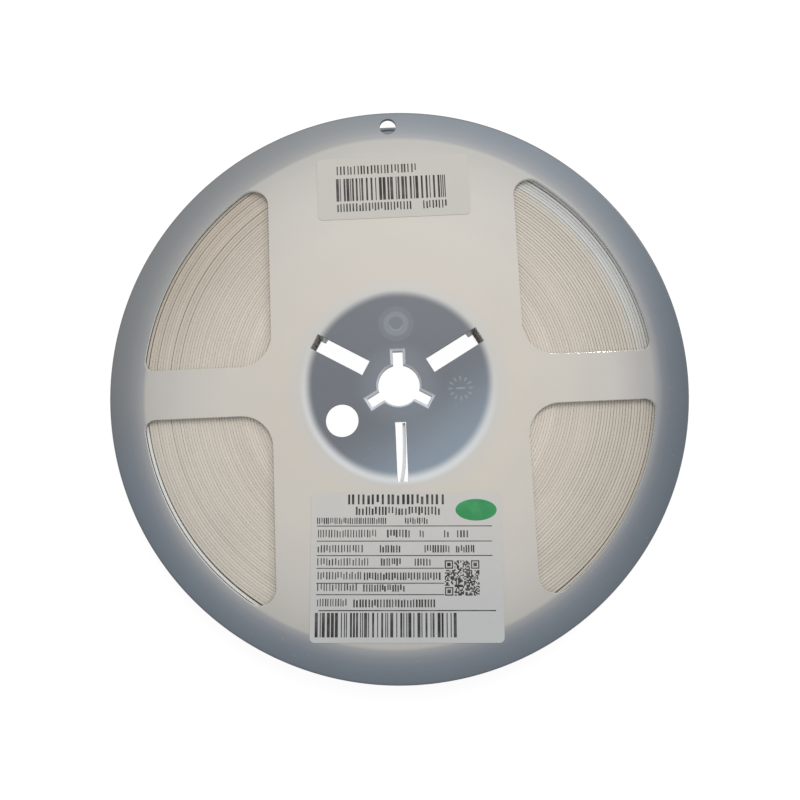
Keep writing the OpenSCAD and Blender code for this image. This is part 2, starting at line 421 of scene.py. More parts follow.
# six times the signed volume of a closed shell, from the quads' and rings' fans
def shellVolume(points, quads, others):
    fans = [quads[:, [0, 1, 2]], quads[:, [0, 2, 3]]]
    fans += [np.array([[ring[0], ring[i], ring[i + 1]] for i in range(1, len(ring) - 1)]) for ring in others]
    a, b, c = np.moveaxis(points[np.concatenate(fans)], 1, 0)
    return np.einsum("ij,ij->i", a, np.cross(b, c)).sum()


# all shells of the moulding become one mesh, each turned right side out first
def reelMoulding(material):
    width, flange = mould["width"], mould["flange"]
    rim = circle((0, 0), mould["flangeRadius"] - 0.55, 288)
    windows = windowRings()
    start, end = mould["slotStart"], mould["hubRadius"]
    slots = [spun(np.array([(start, -half), (end, -half), (end, half), (start, half)]), turn)
             for turn, half in mould["slots"]]
    reach, turn, radius = mould["driveHole"]
    drive = circle(spun(np.array([(reach, 0.0)]), turn)[0], radius, 64)
    rimHole = circle((0, mould["rimHole"][0]), mould["rimHole"][1], 48)
    arbor = arborRing(*mould["webChamfer"])
    front = sheetShell(rim, windows + slots + [drive, rimHole, arbor], width - flange, width)
    back = sheetShell(rim, windows + [hubRing()], 0.0, flange)
    shells = [front, back]
    collar = mould["collar"]
    collarRings = [arborRing(bore, key) for bore, key, _ in collar]
    shells.append(carriedShell(collarRings, [height for _, _, height in collar]))
    shells += [wallShell(*here, *following) for here, following in slotPairs()]
    outer, middle, inner = mould["gateSteps"]
    webBack = width - flange
    gate = [(0.03, -0.3), (inner - 0.1, -0.3), (inner, -0.4), (inner, -0.55), (inner + 0.06, -0.6),
            (middle - 0.1, -0.6), (middle, -0.5), (middle, -0.35), (middle + 0.1, -0.3), (outer - 0.1, -0.3),
            (outer, -0.2), (outer, 0.2), (0.03, 0.2)]
    shells.append(turnedShell(reel["gate"], [(radius, webBack + height) for radius, height in gate], 64))
    bead = mould["bead"]
    for height in (bead, width - bead):
        t = np.linspace(0, 2 * math.pi, 24, endpoint=False)
        rings = [circle((0, 0), mould["flangeRadius"] - bead + bead * math.cos(a), 360) for a in t]
        shells.append(carriedShell(rings, height + bead * np.sin(t)))
    points, quads, others, count = [], [], [], 0
    for shellPoints, shellQuads, shellOthers in shells:
        if shellVolume(shellPoints, shellQuads, shellOthers) < 0:
            shellQuads, shellOthers = shellQuads[:, ::-1], [list(ring)[::-1] for ring in shellOthers]
        points.append(shellPoints)
        quads.append(shellQuads + count)
        others += [np.asarray(ring) + count for ring in shellOthers]
        count += len(shellPoints)
    points, quads = np.concatenate(points) * mm, np.concatenate(quads)
    return makePiece("reelMoulding", points, quads, material, others, crease=25)


# Colour = disc in the hub, then a pale ring, then cream over the paper, then grey to the rim, each by the
# distance from the axis. What lies behind the milky plastic is painted into its colour: the paper as cream,
# the lit hub wall as the pale ring, and shade as the grey disc and the grey outer ring, which darkens toward
# the rim. Clouds and fine specks vary it, and the chamfer, gate and date mark are laid over.
def reelFinish():
    f = Finish("reelPlastic", Roughness=reel["roughness"], Specular_IOR_Level=0.4)
    place = f.place()
    x, y, z = [part * 1000 for part in f.parts(place)]
    radius = (x * x + y * y) ** 0.5
    east, north = x / (radius + 0.01), y / (radius + 0.01)
    drift = f.clouds(place, 0.035, 2.0) - 0.5
    softRadius = radius + drift * 0.9 - f.step(north, -0.3, 0.9) * 1.2 + east * 0.45 + 0.35
    softRadius = softRadius + f.step(north * 0.5 - east * 0.87, 0.55, 0.95) * 1.2
    paper, rim = f.ramp(radius, reel["paperColours"]), f.ramp(softRadius, reel["rimColours"])
    outer = f.blend(f.step(softRadius, reel["rollEdge"] - 0.6, reel["rollEdge"] + 0.8), paper, rim)
    # painted sheen: the grey ring outside the windows is made lighter toward the top
    upward = f.step(north, -0.25, 1.25)
    outer = f.blend(f.step(radius, 79, 84) * upward * 0.08, outer, tone(192, 202, 208))
    # painted shade: the grey ring is made darker on the right, fading out toward the upper right
    outer = f.blend(f.step(radius, 78, 84) * f.step(east, 0.5, 1) * (1 - f.step(north, 0, 0.6)) * 0.20,
                    outer, tone(70, 76, 84))
    # painted shade: a brown tint just outside the windows on the upper left, carried on from the shaded paper
    # there
    outer = f.blend(f.step(radius, 79, 82) * f.step(north * 0.6 - east * 0.8, 0.45, 0.95) * 0.13, outer,
                    tone(178, 160, 126))
    # the outer end of the right spoke is greyer
    spokeEnd = f.step(east, 0.9, 0.97) * f.step(radius, 66, 79) * (1 - f.step(radius, 79, 82))
    outer = f.blend(spokeEnd * 0.5, outer, tone(150, 151, 152))
    # hub: grey disc, its edge fading to a pale ring that is brightest below; the ring's extra brightness and
    # width below are painted light, and the disc's lighter lower right is a painted highlight
    paintedLightBelow = f.step(y * -0.98 - x * 0.2, -24, 30)
    ringTone = f.blend(paintedLightBelow, tone(192, 192, 189), tone(208, 211, 213))
    disc = f.blend(f.step(y * -0.87 + x * 0.5, 4, 28), tone(106, 111, 118), tone(130, 143, 156))
    disc = f.blend(f.step(radius, 15, 7.5) * 0.35, disc, tone(134, 142, 152))
    edgeSoft = f.step(softRadius * 0.5 + radius * 0.5 + paintedLightBelow * 0.55, 27.2, 30.4)
    hub = f.blend(edgeSoft ** 1.25, disc, ringTone)
    colour = f.blend(f.step(radius, 29.6, 31.4), hub, outer)
    # mould marks: gate steps and the date wheel, laid on a little lighter
    gx, gy = x - reel["gate"][0], y - reel["gate"][1]
    gateRadius = (gx * gx + gy * gy) ** 0.5
    pad = f.band(gateRadius, -1, 5.6, 0.25) * 0.07 + f.band(gateRadius, 2.3, 3.9, 0.35) * 0.13
    pad = pad + f.band(gateRadius, 1.9, 2.2, 0.2) * f.step(gy, 0.6, -1.6) * 0.35
    dx, dy = x - reel["dateMark"][0], y - reel["dateMark"][1]
    dateRadius = (dx * dx + dy * dy) ** 0.5
    spoke = dy.maths("ARCTAN2", dx)
    rays = f.step((spoke * 12).maths("COSINE"), 0.2, 0.7) * f.band(dateRadius, 2.5, 3.8, 0.2)
    hand = f.band(abs(dx), -1, 1.4, 0.15) * f.band(abs(dy), -1, 0.3, 0.15)
    marks = (rays * 0.8 + hand) * f.step(z, 10.9, 11.2)
    colour = f.blend((pad + marks * 0.30) * f.step(z, 9, 10), colour, tone(182, 190, 200))
    # bore and keyways: pale chamfers, and upright walls painted dark as shade
    facing = f.parts(f.node("NewGeometry", out="True Normal"))[2]
    nearBore = 1 - f.step(radius, 12.6, 13)
    sloping = f.band(facing, 0.3, 0.94, 0.05) * nearBore
    colour = f.blend(sloping * 0.9, colour, tone(199, 204, 211))
    paintedShadeWalls = (1 - f.step(abs(facing), 0.1, 0.2)) * nearBore
    colour = f.blend(paintedShadeWalls * 0.9, colour, tone(58, 62, 68))
    # the cut walls of the windows show the milky plastic itself
    windowArea = f.step(radius, 38, 40) * (1 - f.step(radius, 81, 82))
    wall = (1 - f.step(abs(facing), 0.25, 0.75)) * windowArea
    colour = f.blend(wall * 0.9, colour, tone(216, 219, 221))
    # painted shade: a thin darker line right at the rim, where its rounded edge lies in shade
    colour = f.blend(f.step(radius, 89.45, 89.85) * 0.55, colour, tone(62, 70, 80))
    # handling marks: wide clouds of tone, faint dust and a few fine scratches
    wide = f.clouds(place, 0.022, 4.0)
    specks = f.step(f.clouds(place, 0.0011, 1.0), 0.74, 0.80)
    scratch = f.clouds(place, 0.004, 2.0, stretch=(0.12, 1.6, 1.0))
    scratch = f.band(scratch, 0.497, 0.503, 0.004)
    colour = f.scaled(colour, (wide - 0.5) * 0.09 + 1.0)
    colour = f.blend(specks * 0.07, colour, tone(214, 214, 210))
    rough = (wide - 0.5) * 0.16 + reel["roughness"] + specks * 0.1 - scratch * 0.04
    peel = f.clouds(place, 0.0035, 2.0)
    grain = f.clouds(place, 0.0005, 2.0)
    height = peel * 0.7 + grain * 0.12 - scratch * 0.25
    # the rounded window edges are smoother and take a glint
    rounded = f.band(abs(facing), 0.2, 0.985, 0.01) * windowArea
    rough = rough * (1 - rounded) + rounded * 0.12
    return f.wear(Base_Color=colour, Roughness=rough, Normal=f.bump(height, 0.00006, 0.35))


# Tape start: paper with grey faces, and an upper edge painted nearly white as light against the shade of the
# slot; speckled by fibres.
def tongueFinish():
    f = Finish("tapeStartPaper", Roughness=0.8, Specular_IOR_Level=0.2)
    place = f.place()
    fibre = f.clouds(place, 0.0006, 3.0)
    side = f.parts(f.node("NewGeometry", out="True Normal"))
    colour = f.blend(f.step(side[2], 0.3, 0.8), tone(188, 187, 184), tone(236, 237, 238))
    colour = f.scaled(colour, (fibre - 0.5) * 0.12 + 1.0)
    return f.wear(Base_Color=colour, Roughness=fibre * 0.1 + 0.75, Normal=f.bump(fibre, 0.00004, 0.4))


tape = {
    "hubRadius": 30.0, "turns": 55.5, "pitch": 0.865,   # the spiral ends inside the loose last turn
    "thickness": 0.845, "foot": 1.85, "width": 8.0,     # the roll hangs between the flanges, held by the hub
    "slackAfter": 35.0, "slack": 0.93, "slackSide": 15.0,   # turn after which it lies slack, mm, degrees
    "taper": 0.08,              # turns over which the end thins out under the flange
    "margin": 0.13,             # mm, the tape is a little narrower than its track at both edges
    "hubGap": 0.02, "squeeze": 0.999,   # mm clear of the hub, share of the pitch that the turns take
    "step": 1.95,               # mm of tape between two sections
    "edge": (0.10, 0.13),       # mm, width and depth of the worn corners of the cut edge
    "wideGaps": ((44.4, 0.10), (48.1, 0.15), (53.2, 0.13)),   # turns after which a gap shows
    "gapSide": 142.0,           # degrees, the side on which these gaps show
}


# the eight corners' places across a tape whose cut edges are worn by so much
def tapeAcross(half, edge):
    return np.array([-half, -half, -half + edge, half - edge, half, half, half - edge, -half + edge])


# Centre line: radius = hub radius + pitch x turn, plus a slow wander, plus slack that grows outward on one
# side, plus a jump after each wide gap that fades over the next turns; the height wanders a little too.
# Section: a thin upright rectangle with small cut corners.
def woundTape(material):
    rng = np.random.default_rng(8)
    turnsOf = lambda length: (np.sqrt(tape["hubRadius"] ** 2 + length * tape["pitch"] / math.pi)
                              - tape["hubRadius"]) / tape["pitch"]
    total = math.pi * ((tape["hubRadius"] + tape["turns"] * tape["pitch"]) ** 2
                       - tape["hubRadius"] ** 2) / tape["pitch"]
    count = int(total / tape["step"])
    turn = turnsOf(np.linspace(0, total, count))
    angle = math.radians(-90) - 2 * math.pi * turn       # clockwise, seen from the front
    side = np.clip(np.cos(angle - math.radians(tape["gapSide"])), 0, 1) ** 1.5
    knots = rng.normal(size=(6, 40))
    wander = lambda row, rate: np.interp(turn * rate % 40, np.arange(40), knots[row])
    drift = 0.006 * wander(0, 0.5) * np.sin(angle + wander(1, 0.3))
    slackShare = np.clip(np.cos(angle - math.radians(tape["slackSide"])), 0, 1) ** 0.7
    outward = np.clip((turn - tape["slackAfter"]) / (tape["turns"] - tape["slackAfter"]), 0, 1)
    slack = tape["slack"] * outward ** 1.1 * slackShare
    jump = np.zeros(count)
    for start, size in tape["wideGaps"]:
        past = turn - start
        jump += np.where(past > 0, size * np.exp(-past / 5.0), 0) * side
    taper = np.clip((tape["turns"] - turn) / tape["taper"], 0.1, 1)
    start = tape["hubRadius"] + tape["thickness"] / 2 + tape["hubGap"]
    radius = start + tape["pitch"] * turn * tape["squeeze"]
    radius = radius + drift + jump + slack
    radius -= tape["thickness"] / 2 * (1 - taper)
    lift = 0.06 * wander(2, 1.3) * 0.5 + 0.03 * np.sin(angle + wander(3, 0.6)) + 0.03 * wander(4, 3.1)
    lift = np.clip(lift, -0.12, 0.10)
    half, tall, (edge, worn) = tape["thickness"] / 2, tape["width"], tape["edge"]
    across = tapeAcross(half, edge)
    upward = np.array([worn, tall - worn, tall, tall, tall - worn, worn, 0, 0])
    sectionRadius = radius[:, None] + across[None] * taper[:, None]
    margin = tape["margin"]
    height = tape["foot"] + margin + upward[None] * (1 - 2 * margin / tall) + lift[:, None]
    x, y = sectionRadius * np.cos(angle)[:, None], sectionRadius * np.sin(angle)[:, None]
    points = np.stack([x, y, height], -1)
    quads = gridFaces(count, 8, wrapColumns=True)
    return flipInward(makePiece("woundTape", points * mm, quads, material, endRings(count, 8), smooth=False))


# a closed piece whose signed volume is negative is turned right side out
def flipInward(piece):
    mesh = piece.data
    mesh.calc_loop_triangles()
    corners = np.empty(len(mesh.loop_triangles) * 3, np.int32)
    mesh.loop_triangles.foreach_get("vertices", corners)
    where = np.empty(len(mesh.vertices) * 3, np.float32)
    mesh.vertices.foreach_get("co", where)
    a, b, c = np.moveaxis(where.reshape(-1, 3)[corners].reshape(-1, 3, 3).astype(float), 1, 0)
    if np.einsum("ij,ij->i", a, np.cross(b, c)).sum() < 0:
        mesh.flip_normals()
    return piece


tongue = {
    "start": (1.02, -11.8), "length": 18.9, "lean": 0.3, "bend": 1.5,   # mm, in the lower slot
    "half": 0.48, "edge": 0.05, "foot": 1.4, "top": 9.6, "sections": 40,
}


# Start of the tape: y falls evenly along the slot, and x = start - lean x t - bend x t to the fourth, so that
# the strip is nearly straight and turns aside just before it meets the first turn.
def tapeTongue(material):
    count = tongue["sections"]
    t = np.linspace(0, 1, count)
    x, y = tongue["start"]
    centre = np.stack([x - tongue["lean"] * t - tongue["bend"] * t ** 4, y - tongue["length"] * t], -1)
    along = np.gradient(centre, axis=0)
    along /= np.linalg.norm(along, axis=1)[:, None]
    aside = np.stack([along[:, 1], -along[:, 0]], -1)
    edge, foot, top = tongue["edge"], tongue["foot"], tongue["top"]
    upward = np.array([foot + edge, top - edge, top, top, top - edge, foot + edge, foot, foot])
    flat = centre[:, None] + aside[:, None] * tapeAcross(tongue["half"], edge)[None, :, None]
    points = np.concatenate([flat, np.broadcast_to(upward[None, :, None], (count, 8, 1))], -1)
    quads = gridFaces(count, 8, wrapColumns=True)
    return flipInward(makePiece("tapeStart", points * mm, quads, material, endRings(count, 8), smooth=False))


# The loose last turn: its cells lie on a circle that stands a little to one side.
looseTurn = {
    "radius": 79.05, "thickness": 0.74, "shift": 0.12, "direction": 30.0, "foot": 2.12, "width": 7.76,
    "cells": 123, "cell": 4.0, "holeRadius": 0.75, "holeFromTop": 1.75, "holeBand": 3.2,
    "pocket": (1.9, 3.5), "pocketDepth": 0.6, "pocketFromTop": 5.25,
    "chip": (1.55, 3.1, 0.5), "chipCut": 0.06, "chipPlay": 0.03,
    "filmBand": (0.45, 5.75), "filmGap": 0.02, "film": 0.06, "filmSteps": 360,
}


# Border of a rectangle: points at even steps along each side, all the way round.
def rectangle(left, right, low, high, along, up):
    x, z = np.linspace(left, right, along + 1), np.linspace(low, high, up + 1)
    sides = [(x[:-1], np.full(along, low)), (np.full(up, right), z[:-1]),
             (x[:0:-1], np.full(along, high)), (np.full(up, left), z[:0:-1])]
    return np.concatenate([np.stack(side, -1) for side in sides])


# One cell flat: (along, up, depth) points and quads. Rings run from the cell's border to the sprocket hole
# and through it, and from the border to the pocket and down into it; the back of the pocket is plain.
def tapeCell():
    t, w = looseTurn["thickness"], looseTurn["width"]
    side, columns, rows = looseTurn["cell"] / 2, 8, 4
    upperFoot = w - looseTurn["holeBand"]
    points, quads, count = [], [], 0

    def strip(rings):
        nonlocal count
        points.append(np.concatenate(rings))
        quads.append(gridFaces(len(rings), len(rings[0]), wrapColumns=True) + count)
        count += len(rings[0]) * len(rings)

    deep = lambda ring, depth: np.concatenate([ring, np.full((len(ring), 1), depth)], -1)
    border = rectangle(-side, side, upperFoot, w, columns, rows)
    centre = np.array([0, w - looseTurn["holeFromTop"]])
    away = border - centre
    hole = centre + looseTurn["holeRadius"] * away / np.linalg.norm(away, axis=1)[:, None]
    strip([deep(border, t), deep(hole, t), deep(hole, 0), deep(border, 0)])
    lower = rectangle(-side, side, 0, upperFoot, columns, rows)
    middle = np.array([0, w - looseTurn["pocketFromTop"]])
    half = np.array(looseTurn["pocket"]) / 2
    share = (lower - (0, upperFoot / 2)) / (side, upperFoot / 2)
    pocket = middle + share * half
    bottom = t - looseTurn["pocketDepth"]
    strip([deep(lower, t), deep(pocket, t), deep(pocket, bottom)])
    pocketFloor = np.arange(count - len(pocket), count)
    across = np.linspace(-side, side, columns + 1)
    x, z = np.meshgrid(across, np.linspace(0, upperFoot, rows + 1), indexing="ij")
    points.append(np.stack([x, z, np.zeros_like(x)], -1).reshape(-1, 3))
    quads.append(gridFaces(columns + 1, rows + 1) + count)
    count += x.size
    for height in (0, w):
        x, depth = np.meshgrid(across, (0, t), indexing="ij")
        points.append(np.stack([x, np.full_like(x, height), depth], -1).reshape(-1, 3))
        quads.append(gridFaces(columns + 1, 2) + count)
        count += x.size
    return np.concatenate(points), np.concatenate(quads), pocketFloor


# Wrap: a point's place along the tape becomes its turn about the axis, its depth adds to the radius.
def wrapped(along, up, depth):
    turn = along / (looseTurn["cells"] * looseTurn["cell"]) * 2 * math.pi
    lean = math.radians(looseTurn["direction"])
    radius = looseTurn["radius"] + depth
    return np.stack([radius * np.cos(turn) + looseTurn["shift"] * math.cos(lean),
                     radius * np.sin(turn) + looseTurn["shift"] * math.sin(lean), looseTurn["foot"] + up], -1)


# Repeat: the same local points and faces in each cell, one cell length further along the tape.
def everyCell(local, faces):
    number = np.arange(looseTurn["cells"])
    along = local[None, :, 0] + number[:, None] * looseTurn["cell"]
    up, depth = [np.broadcast_to(local[:, axis], along.shape) for axis in (1, 2)]
    quads = faces[None] + number[:, None, None] * len(local)
    return wrapped(along, up, depth).reshape(-1, 3), quads.reshape(-1, 4)


# Last turn: one cell repeated and wrapped, its pocket floors added as rings, its borders joined.
def lastTurn(material):
    cell, faces, pocketFloor = tapeCell()
    points, quads = everyCell(cell, faces)
    floors = pocketFloor[None] + np.arange(looseTurn["cells"])[:, None] * len(cell)
    return rightWayOut(makePiece("lastTurn", points * mm, quads, material, floors, weld=True, crease=32))


# faces that meet are made to agree, and all then point outwards
def rightWayOut(piece):
    shape = bmesh.new()
    shape.from_mesh(piece.data)
    bmesh.ops.recalc_face_normals(shape, faces=shape.faces)
    shape.to_mesh(piece.data)
    shape.free()
    return piece


# Chips in the pockets: small bricks whose inner and outer faces have cut edges.
def chipRow(material):
    along, up, deep = looseTurn["chip"]
    cut = looseTurn["chipCut"]
    small = [1 - cut / along * 2, 1 - cut / up * 2]
    level = np.array([small, [1, 1], [1, 1], small])
    depth = np.array([0, cut, deep - cut, deep]) + looseTurn["thickness"] - looseTurn["pocketDepth"]
    depth = depth + looseTurn["chipPlay"]
    corner = np.array([[-1, -1], [1, -1], [1, 1], [-1, 1]]) / 2 * (along, up)
    rings = level[:, None] * corner[None] + (0, looseTurn["width"] - looseTurn["pocketFromTop"])
    faces = np.concatenate([gridFaces(4, 4, wrapColumns=True), endRings(4, 4)])
    points, quads = everyCell(atHeights(rings, depth).reshape(-1, 3), faces)
    return rightWayOut(makePiece("chips", points * mm, quads, material, smooth=False))


# Chip finish: black glaze in the middle, dull metal at both ends, by the height on the tape.
def chipFinish():
    f = Finish("chipGlaze", Roughness=0.35)
    place = f.place()
    z = f.parts(place)[2] * 1000 - (looseTurn["foot"] + looseTurn["width"] - looseTurn["pocketFromTop"])
    ends = f.step(abs(z), 1.0, 1.08)
    grain = f.clouds(place, 0.0006, 3.0)
    colour = f.blend(ends, tone(38, 38, 42), tone(176, 176, 172))
    colour = f.scaled(colour, (grain - 0.5) * 0.3 + 1.0)
    return f.wear(Base_Color=colour, Roughness=ends * 0.15 + 0.3, Metallic=ends * 0.6,
                  Normal=f.bump(grain, 0.00003, 0.4))


# Cover film: a thin rectangle over the pockets, just outside the last turn, carried once round.
def coverFilm(material):
    (low, high), count = looseTurn["filmBand"], looseTurn["filmSteps"]
    inner = looseTurn["thickness"] + looseTurn["filmGap"]
    outer = inner + looseTurn["film"]
    up, depth = np.array([(low, inner), (high, inner), (high, outer), (low, outer)]).T
    along = np.linspace(0, looseTurn["cells"] * looseTurn["cell"], count + 1)[:-1]
    along = np.broadcast_to(along[:, None], (count, 4))
    points = wrapped(along, np.broadcast_to(up, along.shape), np.broadcast_to(depth, along.shape))
    quads = gridFaces(count, 4, wrapRows=True, wrapColumns=True)
    return rightWayOut(makePiece("coverFilm", points * mm, quads, material, crease=40))


# Film finish: clear and a little milky, with a sealing line above the pockets. The lower line ends where
# the film begins.
def filmFinish():
    f = Finish("coverFilm", Roughness=0.18, Alpha=0.28)
    place = f.place()
    z = f.parts(place)[2] * 1000
    cloudy = f.clouds(place, 0.003, 3.0)
    seal = f.band(z, 2.0, 2.5, 0.1) + f.band(z, 6.4, 6.9, 0.1)
    return f.wear(Base_Color=f.blend(seal, tone(205, 208, 210), tone(228, 228, 226)),
                  Roughness=cloudy * 0.15 + 0.12, Alpha=seal * 0.25 + cloudy * 0.12 + 0.18,
                  Normal=f.bump(cloudy, 0.00003, 0.3))


# Colour = warm paper, darker outward, with a tone of its own for each turn; painted shade makes it browner to
# the upper left and lower right, and painted light makes the last turns whiter on the upper right and lower
# left; clouds and fibres vary it.
def paperFinish():
    f = Finish("carrierPaper", Roughness=0.85, Specular_IOR_Level=0.2)
    place = f.place()
    x, y = [part * 1000 for part in f.parts(place)[:2]]
    radius = (x * x + y * y) ** 0.5
    turn = (y.maths("ARCTAN2", x) / (2 * math.pi) + (radius - 30) / tape["pitch"] + 0.25).maths("FLOOR")
    each = f.node("TexWhiteNoise", {"noise_dimensions": "1D"}, out="Value", W=turn * 0.37)
    patches = f.clouds(place, 0.014, 3.0)
    base = f.blend(f.step(radius, 40, 78), tone(207, 199, 188), tone(196, 190, 180))
    paintedShadeUpperLeft = f.step(y * 0.62 - x * 0.78, 48, 80)
    base = f.blend(paintedShadeUpperLeft * 0.42, base, tone(172, 158, 138))
    paintedLightRight = f.step(x, 20, 55) * f.step(radius + patches * 3, 74.6, 77.6) * f.step(y, -10, 25)
    base = f.blend(paintedLightRight * 0.75, base, tone(200, 204, 204))
    paintedShadeLowRight = f.step(x * 0.94 - y * 0.34, 48, 80)
    base = f.blend(paintedShadeLowRight * 0.3, base, tone(166, 158, 145))
    paintedLightLowLeft = f.step(0 - x, 30, 60) * (1 - f.step(y, -14, -8)) * f.step(radius, 78.75, 78.85)
    base = f.blend(paintedLightLowLeft * 0.7, base, tone(226, 228, 226))
    colour = f.scaled(base, (each - 0.5) * 0.10 + (patches - 0.5) * 0.14 + 1.0)
    fibre = f.clouds(place, 0.0006, 3.0, stretch=(1.0, 1.0, 0.35))
    colour = f.scaled(colour, (fibre - 0.5) * 0.12 + 1.0)
    return f.wear(Base_Color=colour, Roughness=(patches - 0.5) * 0.1 + 0.84,
                  Normal=f.bump(fibre, 0.00005, 0.5))


labels = {
    "top": 11.52, "ink": 0.012, "sunk": 0.004,
    "main": {"middle": (0.0, -55.5), "turn": -2.4, "rise": 2.35},
    "upper": {"middle": (1.0, 64.4), "turn": 0.0, "rise": 0.0},
    "oval": {"middle": (21.05, 14.65), "halves": (6.25, 3.25), "points": 72,    # rings: share and height
             "rings": [(0.02, 0.016), (0.5, 0.016), (0.97, 0.016), (1.0, 0.010), (1.0, -0.004)]},
}


# Coated paper: pale with a faint mottling, greyer toward the lower edge of the main label and creamier on
# the top label, with a finely fibrous bump.
def labelFinish():
    f = Finish("labelPaper", Roughness=0.55, Specular_IOR_Level=0.35)
    place = f.place()
    mottle = f.clouds(place, 0.008, 4.0)
    fibre = f.clouds(place, 0.0007, 3.0, stretch=(0.5, 1.0, 1.0))
    y = f.parts(place)[1]
    base = f.blend(f.step(y, -0.078, -0.03), tone(182, 183, 184), tone(195, 193, 189))
    base = f.blend(f.step(y, 0, 0.05), base, tone(191, 188, 182))
    colour = f.scaled(base, (mottle - 0.5) * 0.06 + (fibre - 0.5) * 0.04 + 1.0)
    return f.wear(Base_Color=colour, Roughness=(mottle - 0.5) * 0.12 + 0.55,
                  Normal=f.bump(fibre, 0.00004, 0.4))


# Ink: dark grey, worn thin in clouds and in fine dropouts where the ribbon missed.
def inkFinish(name, dark, pale, dropout=0.30):
    f = Finish(name, Roughness=0.6, Specular_IOR_Level=0.25)
    place = f.place()
    thin = f.clouds(place, 0.005, 4.0)
    fine = f.clouds(place, 0.0005, 2.0)
    colour = f.blend(f.step(thin, 0.40, 0.70) * 0.6 + f.step(fine, 0.55, 0.75) * dropout, dark, pale)
    return f.wear(Base_Color=colour, Roughness=(thin - 0.5) * 0.2 + 0.6, Normal=f.bump(fine, 0.00003, 0.4))


# A row of marks in place of words: upright strokes of nearly even height, two to a cell.
def markRow(rng, left, foot, height, count, stroke, width):
    cell, strokes = height * width, count * 2
    start = left + cell / 2 * (np.arange(strokes) + rng.uniform(-0.12, 0.12, strokes) + 0.5)
    tall = height * rng.choice([0.78, 0.9, 1.0, 1.0, 1.0], strokes)
    lift = np.where(rng.random(strokes) < 0.5, 0, height - tall)
    centres = np.stack([start, foot + lift + tall / 2], -1)
    return centres, np.stack([stroke * rng.uniform(0.85, 1.35, strokes), tall], -1)


# bars of random width with random gaps between left and right
def barRow(rng, left, right, foot, top, narrow):
    widths = narrow * rng.choice([1, 1, 2, 2, 3], 400)
    gaps = narrow * rng.choice([1, 1, 2, 3], 400)
    start = left + np.concatenate([[0], np.cumsum(widths + gaps)[:-1]])
    keep = start + widths <= right
    centres = np.stack([start[keep] + widths[keep] / 2, np.full(keep.sum(), (foot + top) / 2)], -1)
    sizes = np.stack([widths[keep], np.full(keep.sum(), top - foot)], -1)
    return centres, sizes


# all rows of a label as one piece of ink, sunk a little into its paper
def printedSheet(name, sheet, rows, ink):
    centres, sizes = [np.concatenate(part) for part in zip(*rows)]
    points, quads = raisedBars(centres + (0, sheet["rise"]), sizes, labels["top"] - labels["sunk"],
                               labels["ink"] + labels["sunk"], sheet["turn"], sheet["middle"])
    return makePiece(name, points, quads, ink, smooth=False)


# a rule is one thin bar
def rule(left, right, height, thick=0.26):
    return np.array([[(left + right) / 2, height]]), np.array([[right - left, thick]])


# squares of a random pattern: six cells in ten are dark, and three corners hold framed squares
def squareCode(rng, left, foot, width, cells):
    size = width / cells
    dark = rng.random((cells, cells)) < 0.6
    for row, column in ((0, 0), (cells - 7, 0), (cells - 7, cells - 7)):
        dark[max(row - 1, 0):row + 8, max(column - 1, 0):column + 8] = False
        dark[row:row + 7, column:column + 7] = True
        dark[row + 1:row + 6, column + 1:column + 6] = False
        dark[row + 2:row + 5, column + 2:column + 5] = True
    rows, columns = np.nonzero(dark)
    centres = np.stack([left + (columns + 0.5) * size, foot + (rows + 0.5) * size], -1)
    return centres, np.full((len(rows), 2), size)


def printLabels(ink):
    rng = np.random.default_rng(31)
    words = [   # left, foot, height, cells, stroke, width of a cell by its height
        (-18.4, 16.3, 3.0, 10, 0.62, 1.0), (-15.8, 13.1, 2.5, 13, 0.44, 0.80),
        (-27.4, 10.4, 1.9, 16, 0.28, 0.70), (-0.7, 10.4, 1.9, 5, 0.30, 0.76),
        (-27.2, 6.4, 2.3, 11, 0.30, 0.72), (-6.2, 6.4, 2.3, 4, 0.42, 0.8),
        (3.6, 6.4, 2.1, 1, 0.36, 0.9), (11.0, 6.4, 2.1, 1, 0.36, 0.9), (14.9, 6.4, 2.1, 2, 0.36, 0.95),
        (-27.2, 1.95, 2.2, 8, 0.30, 0.8), (-8.4, 1.9, 2.2, 4, 0.36, 0.75),
        (5.1, 1.9, 2.2, 5, 0.36, 0.72), (14.6, 1.9, 2.2, 4, 0.36, 0.68),
        (-27.2, -1.95, 2.2, 9, 0.30, 0.8), (-8.0, -2.0, 2.2, 4, 0.38, 0.72), (2.0, -2.0, 2.1, 3, 0.34, 0.85),
        (-27.1, -6.0, 2.2, 8, 0.30, 0.78), (-13.2, -6.2, 2.2, 14, 0.40, 0.76),
        (-27.1, -9.4, 2.1, 7, 0.30, 0.84), (-13.2, -9.6, 2.1, 8, 0.40, 0.75),
        (-27.1, -13.9, 2.2, 6, 0.30, 0.7), (-16.2, -14.2, 2.3, 14, 0.42, 0.77),
    ]
    rules = [(-27.2, 25.8, 9.8), (-27.2, 25.8, 5.3), (-27.2, 25.8, 1.0), (-27.2, 11.2, -2.75),
             (-27.2, 11.2, -7.15), (-27.2, 11.2, -10.5), (-26.4, 26.6, -15.15, 0.32)]
    rows = [markRow(rng, *word) for word in words] + [rule(*line) for line in rules]
    rows += [barRow(rng, -27.5, 15.3, -22.9, -15.8, 0.30), squareCode(rng, 11.4, -10.8, 10.4, 29)]
    main = printedSheet("mainLabelPrint", labels["main"], rows, ink)
    rows = [
        markRow(rng, -18.3, 4.7, 2.9, 12, 0.40, 0.75),
        barRow(rng, -18.4, 16.8, -4.2, 3.4, 0.30),
        markRow(rng, -18.6, -7.7, 2.7, 12, 0.40, 0.75), markRow(rng, 9.0, -7.7, 2.7, 4, 0.40, 0.75),
    ]
    return main, printedSheet("topLabelPrint", labels["upper"], rows, ink)


